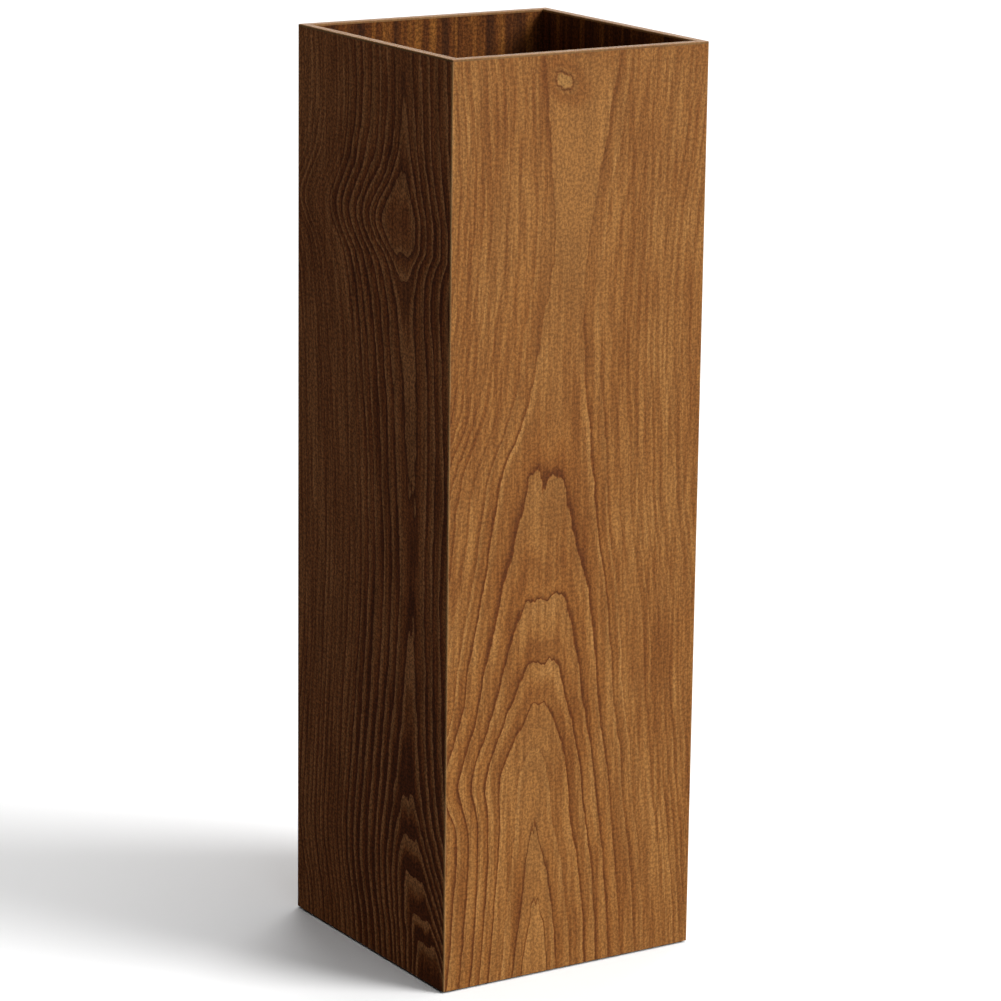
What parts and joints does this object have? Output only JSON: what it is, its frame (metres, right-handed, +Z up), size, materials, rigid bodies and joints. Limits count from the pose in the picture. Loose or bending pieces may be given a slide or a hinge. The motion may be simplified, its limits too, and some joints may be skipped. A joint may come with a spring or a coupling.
{
  "type": "umbrella stand",
  "caption": "Tall square open-topped umbrella stand of mitred, wood-veneered panels with a thin rim, rubber feet and a lift-out drip tray.",
  "frame": {"origin": "on the floor under the middle of the stand, in the plane of the feet's undersides", "axes": "+Z up to the open rim; -Y is the front face and -X the left face, as a person facing the front sees them"},
  "size_m": [0.158, 0.158, 0.5],
  "materials": {
    "outer_veneer": "satin oiled, crown-cut figure",
    "inner_veneer": "matt oiled, straight grain",
    "edge_lipping": "satin oiled, light edge grain",
    "plywood_core": "raw sanded plywood",
    "beech": "raw planed beech",
    "foot_rubber": "matt black rubber",
    "zinc_screw": "bright zinc plate",
    "tray_moulding": "matt dark moulded plastic"
  },
  "bodies": {
    "stand": {"front_core": "plywood_core", "front_veneer": "outer_veneer", "front_lining": "inner_veneer", "front_lipping": "edge_lipping", "right_core": "plywood_core", "right_veneer": "outer_veneer", "right_lining": "inner_veneer", "right_lipping": "edge_lipping", "back_core": "plywood_core", "back_veneer": "outer_veneer", "back_lining": "inner_veneer", "back_lipping": "edge_lipping", "left_core": "plywood_core", "left_veneer": "outer_veneer", "left_lining": "inner_veneer", "left_lipping": "edge_lipping", "front_left_spline": "beech", "front_left_block": "beech", "front_left_foot": "foot_rubber", "front_right_spline": "beech", "front_right_block": "beech", "front_right_foot": "foot_rubber", "back_right_spline": "beech", "back_right_block": "beech", "back_right_foot": "foot_rubber", "back_left_spline": "beech", "back_left_block": "beech", "back_left_foot": "foot_rubber", "base_board": "plywood_core", "foot_screws": "zinc_screw"},
    "tray": {"drip_tray": "tray_moulding"}
  },
  "joints": [
    {"name": "tray_lift", "type": "slide", "parent": "stand", "child": "tray", "axis": [0, 0, 1], "range_m": [0, 0.5]}
  ]
}
